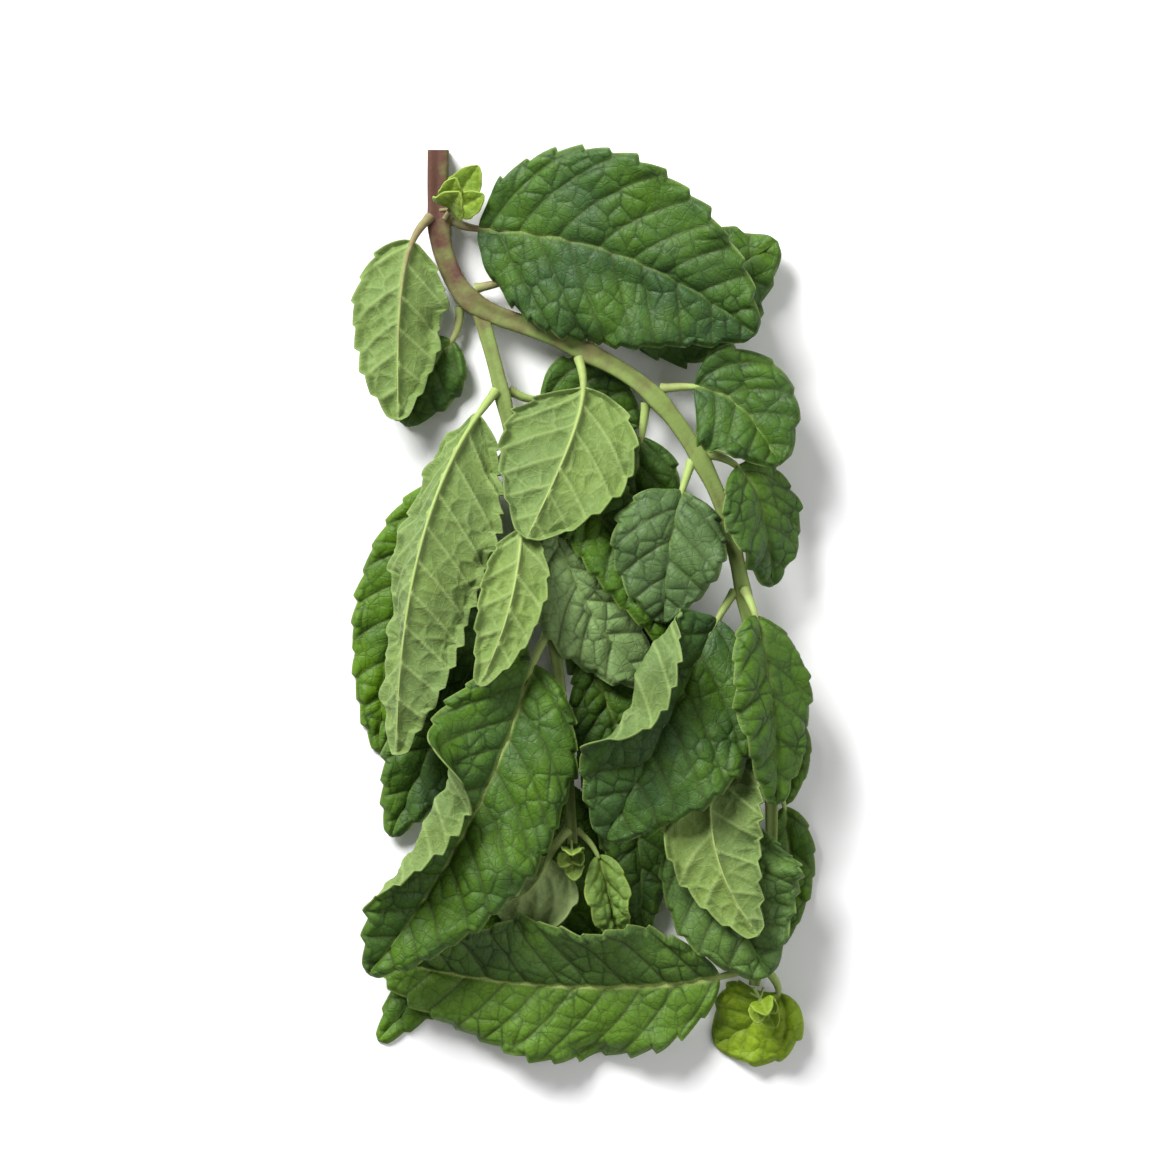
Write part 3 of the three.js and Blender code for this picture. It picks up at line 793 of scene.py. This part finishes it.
def flat_layout(spec, across, s, length, rng):
    widest = spec["half_width"]
    side = np.where(across >= 0, 1.0, -1.0)
    full = np.maximum(outline(s, widest), LEAST_HALF_WIDTH)
    tooth = teeth_along(s, side, length, widest, rng)
    distance = np.abs(across) * full + tooth * smooth(TOOTH_FROM, 1.0, np.abs(across))
    return side, full, distance, full + tooth - distance


def bent_surface(spec, midrib, stalk_share, s, side, distance):
    share = stalk_share + (1 - stalk_share) * s
    aside, over = directions(midrib, share, spec["turn"] + spec["twist"] * share)
    halves = [section(spec[half], s, distance, spec["half_width"]) for half in ("left", "right")]
    out, rise, slope = [np.where(side > 0, right, left) for left, right in zip(*halves)]
    normal = over * np.cos(slope)[:, None] - aside * (side * np.sin(slope))[:, None]
    return midrib.at(share) + aside * (side * out)[:, None] + over * rise[:, None], normal


def margin_wave(spec, s, side, outward):
    swing = np.sin(2 * np.pi * WAVES * s + side + spec["phase"]) * np.sin(np.pi * s)
    return spec["wave"] * spec["half_width"] * outward**2 * swing


def crumples(x, y, distance, full, widest, rng):
    crumple = CRUMPLE * soft_ripple(x, y, rng, CRUMPLE_LENGTH) * smooth(0, CRUMPLE_FROM, distance)
    frill = FRILL * soft_ripple(x, y, rng, FRILL_LENGTH) * smooth(FRILL_FROM, 1.0, distance / full)
    frill = frill * smooth(0, FRILL_WIDTH, full)
    return (crumple + frill) * min(1.0, widest / FULL_CRUMPLE_WIDTH)


print("crumples and frills in mm:", CRUMPLE, FRILL)

# %% [markdown]
# The whole blade. The net's height, the wave and the crumples are added along the blade's own direction.
# The quilting fades towards the margin and is sunk a little, so the blade stays where its solid is. No
# point goes below the table. What the finish needs to know is stored on the points: where the midrib,
# branches, net and margin are, and the leaf's tones.

# %% Blade maker
BLADE_LOWEST = 0.35
QUILT_SINK = 0.8
MARGIN_FLAT = 1.4
MARGIN_LINE = 0.3
NET_FADE = 1.0
PATTERN_SHIFT = 500


def store(mesh, name, kind, values):
    layer = mesh.attributes.new(name, kind, "POINT")
    field = "vector" if kind == "FLOAT_VECTOR" else "value"
    layer.data.foreach_set(field, np.asarray(values, np.float32))


def store_looks(mesh, spec, flat, side, edge, lines):
    midrib_line, branch, groove_shade_and_vein = lines
    rib = 1.0 if spec["turn"] == HALF_TURN else spec["rib"]
    looks = {
        "midrib": midrib_line * rib,
        "branch": branch,
        # The pale value: a greyish tint, and on some leaves painted sheen or painted light.
        "pale": np.full_like(side, spec["pale"]),
        # On the upper face this net mask carries painted shade in the grooves.
        "groove_shade_and_vein": groove_shade_and_vein * smooth(0.0, NET_FADE, edge),
        "edge": drawn(edge, MARGIN_LINE),
        "tone": np.where(side > 0, spec["tone"][1], spec["tone"][0]),
    }
    store(mesh, "flat", "FLOAT_VECTOR", flat.ravel())
    for name, values in looks.items():
        store(mesh, name, "FLOAT", values)


def blade_mesh(name, spec, midrib, stalk_share, seed, quilting):
    rng = np.random.default_rng(seed)
    widest = spec["half_width"]
    length = midrib.length * (1 - stalk_share)
    blade, across, s = grid_of(name, widest, length)
    side, full, distance, edge = flat_layout(spec, across, s, length, rng)
    place, normal = bent_surface(spec, midrib, stalk_share, s, side, distance)

    x, y = side * distance, s * length
    swell, *lines = quilt(x, y, length, widest, rng)
    swell *= quilting * smooth(0.0, MARGIN_FLAT, edge)
    lift = margin_wave(spec, s, side, distance / full) + swell - QUILT_SINK * quilting
    lift = lift + crumples(x, y, distance, full, widest, rng)
    place += normal * lift[:, None]
    place[:, 2] = np.maximum(place[:, 2], BLADE_LOWEST)
    blade.data.vertices.foreach_set("co", ((place + CENTRING) * MM).ravel())

    shift = rng.uniform(0, PATTERN_SHIFT, 2)
    flat = np.stack([x + shift[0], y + shift[1], 0 * x], axis=1)
    store_looks(blade.data, spec, flat, side, edge, lines)
    blade.data.update()
    return blade


print("blades stay above the table by", BLADE_LOWEST, "mm")

# %% [markdown]
# The stalk and the rib under the blade are one tapering cord. A path curve with a round bevel is the
# quickest way: each point has its own radius, and the curve is then converted to a mesh and joined to the
# blade. The stalk's first point is pushed back into the stem, so no gap shows there.

# %% Swept cords
RIB_END = 0.96
RIB_POINTS = 48
RIB_THICKEST = 0.85
RIB_SHARE = 0.12
STALK_TAPER = 0.45
STALK_TAPER_REACH = 1.6
RIB_TAPER = 0.8
RIB_TAPER_POWER = 0.7
RIB_SINK = 0.15
RIB_BURIED = 0.7
RIB_ENTRY = (-0.02, 0.06)
CORD_DROP = 0.3
STALK_FLARE = 1.25
CORD_ROUNDNESS = 3


def sweep(name, points, radii, profile=None):
    deselect()
    bpy.ops.curve.primitive_nurbs_path_add()
    cord = bpy.context.object
    cord.name = cord.data.name = name
    cord.data.splines.clear()
    spline = cord.data.splines.new("POLY")
    spline.points.add(len(points) - 1)
    for point, place, radius in zip(spline.points, (points + CENTRING) * MM, radii * MM):
        point.co = (*place, 1.0)
        point.radius = radius
    cord.data.twist_mode = "Z_UP"
    cord.data.use_fill_caps = True
    if profile:
        cord.data.bevel_mode = "OBJECT"
        cord.data.bevel_object = profile
    else:
        cord.data.bevel_depth = 1.0
        cord.data.bevel_resolution = CORD_ROUNDNESS
    bpy.ops.object.convert(target="MESH")
    bpy.ops.object.shade_smooth()
    return bpy.context.object


def stalk_and_rib(name, spec, midrib, stalk_share, root_sink):
    shares = np.linspace(0, RIB_END, RIB_POINTS)
    s = np.clip((shares - stalk_share) / (1 - stalk_share), 0, 1)
    points = midrib.at(shares)
    over = directions(midrib, shares, spec["turn"] + spec["twist"] * shares)[1]
    thick = min(RIB_THICKEST, spec["half_width"] * RIB_SHARE)
    stalk_taper = 1 - STALK_TAPER * smooth(0, stalk_share * STALK_TAPER_REACH, shares)
    radii = thick * stalk_taper * (1 - RIB_TAPER * s**RIB_TAPER_POWER)
    drop = (RIB_SINK + RIB_BURIED * radii) * smooth(*RIB_ENTRY, s) + CORD_DROP
    points -= over * drop[:, None]
    points = np.vstack([points[0] - unit(points[1] - points[0]) * root_sink, points])
    radii = np.concatenate([[radii[0] * STALK_FLARE], radii])
    points[:, 2] = np.maximum(points[:, 2], radii)
    rib = sweep(name + "_rib", points, radii)
    rib.data.materials.append(RIB_SKIN)
    return rib


print("thickest stalk across, in mm:", 2 * RIB_THICKEST)

# %% [markdown]
# A leaf is its blade and its rib together. Solidify gives the thin sheet its thickness and puts the
# underside's finish on its lower wall. The rib is then joined on, and the leaf replaces its solid.

# %% Leaves
BLADE_THICKNESS = 0.32
STALK_SINK = 1.6
WAVE_STEP = 2.4
LEAF_SEED = 100
FULL_QUILTING = 1.0


def join(parts, name):
    select_only(*parts)
    bpy.ops.object.join()
    whole = bpy.context.object
    whole.name = whole.data.name = name
    return whole


def make_leaf(name, spec, midrib, stalk, seed, quilting, root_sink):
    stalk_share = stalk / midrib.length
    blade = blade_mesh(name, spec, midrib, stalk_share, seed, quilting)
    for material in (YOUNG_FACE, YOUNG_BACK) if spec["young"] else (LEAF_FACE, LEAF_BACK):
        blade.data.materials.append(material)
    select_only(blade)
    wall = blade.modifiers.new("thickness", "SOLIDIFY")
    wall.thickness = BLADE_THICKNESS * MM
    wall.offset = 0
    wall.material_offset = 1
    bpy.ops.object.modifier_apply(modifier=wall.name)
    bpy.ops.object.shade_smooth()
    return join([blade, stalk_and_rib(name, spec, midrib, stalk_share, root_sink)], name)


def finish_piece(piece, node):
    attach(piece, "root")
    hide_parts(node)


triangles = 0
for order, (name, spec) in enumerate(LEAVES.items()):
    spec["phase"] = order * WAVE_STEP
    seed = LEAF_SEED + order
    midrib = midrib_of(spec)
    piece = make_leaf(name + "_leaf", spec, midrib, STALK_LENGTH, seed, FULL_QUILTING, STALK_SINK)
    finish_piece(piece, name)
    triangles += sum(len(p.vertices) - 2 for p in piece.data.polygons)
print("leaf triangles:", triangles)

# %% [markdown]
# The young leaves at the tips and in the first axil grow in crossed pairs round one direction. They are
# made as the large leaves are, smaller and less quilted, and joined into one piece for each cluster. A row
# gives the stem, the place on it, a point to grow towards, the size, and how greyish the leaves are.

# %% Young clusters
CLUSTERS = {
    "axil_cluster": ("main", 0.075, (-19, 80, 12), 11, 0.2),
    "main_tip_cluster": ("main", 1.0, (37, -80, 11), 7, 0.0),
    "side_tip_cluster": ("side", 1.0, (-0.6, -50.5, 15), 6.5, 0.5),
}
CLUSTER_LEAVES = ((0, 1.0), (190, 0.9), (95, 0.75), (270, 0.65))
CLUSTER_SPLAY = 32
CLUSTER_BULGE = 1.6
CLUSTER_WIDTH = 0.32
CLUSTER_HALF = {"fold": 20, "curl": 0}
CLUSTER_GAP = 1.8
CLUSTER_BASE = 0.4
CLUSTER_BEND = 0.5
CLUSTER_STALK = 1.0
CLUSTER_SINK = 2.6
CLUSTER_QUILTING = 0.35
CLUSTER_SEED = 300
CLUSTER_SEED_STEP = 10


def turned(vector, axis, degrees):
    angle = np.radians(degrees)
    swung = vector * np.cos(angle) + np.cross(axis, vector) * np.sin(angle)
    return swung + axis * axis.dot(vector) * (1 - np.cos(angle))


for order, (name, (stem_name, at, toward, size, pale)) in enumerate(CLUSTERS.items()):
    stem = STEMS[stem_name]
    centre = stem["line"].at(at)
    way = unit(np.array(toward, float) - centre)
    root = centre + way * (stem_half_side(stem, at) * STEM_REACH + CLUSTER_GAP)
    across = unit(np.cross(way, UP))
    parts = []
    for count, (around, scale) in enumerate(CLUSTER_LEAVES):
        axis = turned(across, way, around)
        tip_way = turned(way, axis, CLUSTER_SPLAY * scale)
        bend_way = turned(way, axis, CLUSTER_SPLAY * CLUSTER_BULGE * scale)
        reach = size * scale
        base = root + tip_way * CLUSTER_BASE * scale
        midrib = bezier(base, root + bend_way * reach * CLUSTER_BEND, root + tip_way * reach)
        spec = leaf(
            stem_name, at, toward, toward, reach * CLUSTER_WIDTH, CLUSTER_HALF, CLUSTER_HALF,
            young=True, phase=0, pale=pale,
        )
        seed = CLUSTER_SEED + CLUSTER_SEED_STEP * order + count
        young_name = f"{name}_{count}"
        parts.append(
            make_leaf(young_name, spec, midrib, CLUSTER_STALK, seed, CLUSTER_QUILTING, CLUSTER_SINK)
        )
    finish_piece(join(parts, name + "_leaves"), name)
print("clusters:", len(CLUSTERS))

# %% [markdown]
# The stems are swept with a square section whose corners are ridges and whose sides are slightly hollow.
# The section is a circle curve, pulled to that shape, and the path's own radius makes the taper and the
# nodes. The side shoot starts inside the main stem, where it grows out of it.

# %% Stem section and sweep
CORNER_RIDGE = 0.14
SECTION_POWER = 6.0
SECTION_CORNERS = 4
SECTION_POINTS = 40
STEM_STEP = 0.7
ROOT_FLARE = 1.15
SHOOT_ROOT = (-17.9, 54.6, 3.8)


def square_section():
    deselect()
    bpy.ops.curve.primitive_bezier_circle_add(radius=1)
    profile = bpy.context.object
    profile.data.splines.clear()
    spline = profile.data.splines.new("POLY")
    angles = np.linspace(0, 2 * np.pi, SECTION_POINTS, endpoint=False)
    spline.points.add(len(angles) - 1)
    for point, angle in zip(spline.points, angles):
        parts = np.abs([np.cos(angle), np.sin(angle)]) ** SECTION_POWER
        hollow = 1 - CORNER_RIDGE * (0.5 + 0.5 * np.cos(SECTION_CORNERS * angle))
        reach = parts.sum() ** (-1 / SECTION_POWER) * hollow
        point.co = (reach * np.cos(angle), reach * np.sin(angle), 0, 1)
    spline.use_cyclic_u = True
    return profile


def stem_piece(node, stem, profile, before=()):
    shares = np.linspace(0, 1, int(stem["line"].length / STEM_STEP))
    points = stem["line"].at(shares)
    sizes = stem_half_side(stem, shares)
    for place in before:
        points = np.vstack([place, points])
        sizes = np.concatenate([[sizes[0] * ROOT_FLARE], sizes])
    piece = sweep(node + "_sweep", points, sizes, profile)
    piece.data.materials.append(STEM_SKIN)
    return piece


stem_profile = square_section()
main_stem = stem_piece("main_stem", STEMS["main"], stem_profile)
side_shoot = stem_piece("side_shoot", STEMS["side"], stem_profile, [SHOOT_ROOT])
bpy.data.objects.remove(stem_profile)
for piece, node in ((main_stem, "main_stem"), (side_shoot, "side_shoot")):
    finish_piece(piece, node)
    print(node, "faces:", len(piece.data.polygons))

# %% [markdown]
# The cut end. The sweep closes the stem with one flat face. That face is picked by its place, inset to
# leave the skin as a rim, pushed in a little where the pith has shrunk, and given the pith's finish.

# %% Cut end
PITH_RIM = 0.5 * MM
PITH_DEPTH = 0.4 * MM
END_REACH = 0.1 * MM

select_only(main_stem)
main_stem.data.materials.append(STEM_PITH)
bpy.ops.object.mode_set(mode="EDIT")
bpy.ops.mesh.select_mode(type="FACE")
bpy.ops.mesh.select_all(action="DESELECT")
bpy.ops.object.mode_set(mode="OBJECT")
end = max(v.co.y for v in main_stem.data.vertices)
for face in main_stem.data.polygons:
    face.select = face.center.y > end - END_REACH
picked = sum(face.select for face in main_stem.data.polygons)
bpy.ops.object.mode_set(mode="EDIT")
bpy.ops.mesh.inset(thickness=PITH_RIM)
main_stem.active_material_index = 1
bpy.ops.object.material_slot_assign()
bpy.ops.transform.translate(value=(0, -PITH_DEPTH, 0))
bpy.ops.object.mode_set(mode="OBJECT")
print("cut end faces:", picked)

# %% [markdown]
# The table and the light. A large plane makes the pale table. One large soft light comes from the upper
# left, low enough to show the quilting, and a paler one fills from the right. A weak white world lights the
# rest, so that no shadow goes black. A lamp's row gives its place in metres, its size and its power.

# %% Table and light
TABLE_SIZE = 4
TABLE_WHITE = (0.9, 0.9, 0.9, 1.0)
TABLE_ROUGHNESS = 0.9
ROOM_WHITE = (1.0, 1.0, 1.0, 1.0)
ROOM_LIGHT = 0.25
LAMPS = (
    ("key", (-0.5, 0.7, 0.65), 0.5, 25.0),
    ("fill", (0.8, -0.2, 0.7), 0.8, 5.0),
)

deselect()
bpy.ops.mesh.primitive_plane_add(size=TABLE_SIZE)
table = bpy.context.object
table.name = "table"
paper, nodes, links = new_material("pale_table")
surface = nodes.new("ShaderNodeBsdfPrincipled")
surface.inputs["Base Color"].default_value = TABLE_WHITE
surface.inputs["Roughness"].default_value = TABLE_ROUGHNESS
links.new(surface.outputs[0], nodes.new("ShaderNodeOutputMaterial").inputs["Surface"])
table.data.materials.append(paper)

for name, place, size, power in LAMPS:
    bpy.ops.object.light_add(type="AREA", location=place)
    lamp = bpy.context.object
    lamp.name = name
    lamp.data.size = size
    lamp.data.energy = power
    lamp.rotation_euler = (-lamp.location).to_track_quat("-Z", "Y").to_euler()

world = bpy.data.worlds.new("soft_room")
world.use_nodes = True
background = world.node_tree.nodes["Background"]
background.inputs["Color"].default_value = ROOM_WHITE
background.inputs["Strength"].default_value = ROOM_LIGHT
bpy.context.scene.world = world
bpy.context.scene.view_settings.view_transform = "Standard"
print("lamps:", [lamp[0] for lamp in LAMPS])

# %% [markdown]
# The camera looks straight down from 1.2 metres through a long lens, so that high leaves aren't drawn much
# larger than low ones. The sprig is placed in the picture as in the photograph. The lens is worked out from
# the width to be seen, 10 mm above the table.

# %% Camera
SENSOR = 36
FRAME_WIDTH = 219.4
VIEW_CENTRE = np.array([1.04, 3.69, 10.0])
VIEW_HEIGHT = 1.2

centre = (VIEW_CENTRE + CENTRING) * MM
bpy.ops.object.camera_add(location=(centre[0], centre[1], VIEW_HEIGHT), rotation=(0, 0, 0))
camera = bpy.context.object
camera.data.sensor_width = SENSOR
camera.data.lens = SENSOR * (VIEW_HEIGHT - centre[2]) / (FRAME_WIDTH * MM)
bpy.context.scene.camera = camera
print("lens in mm:", round(camera.data.lens, 1))

# %% [markdown]
# The sizes. The scene is brought up to date here. Quilting, teeth and crumples move the surface a little,
# so the finished sprig's box should agree with the solids' box to about a millimetre.

# %% Sizes
bpy.context.view_layer.update()
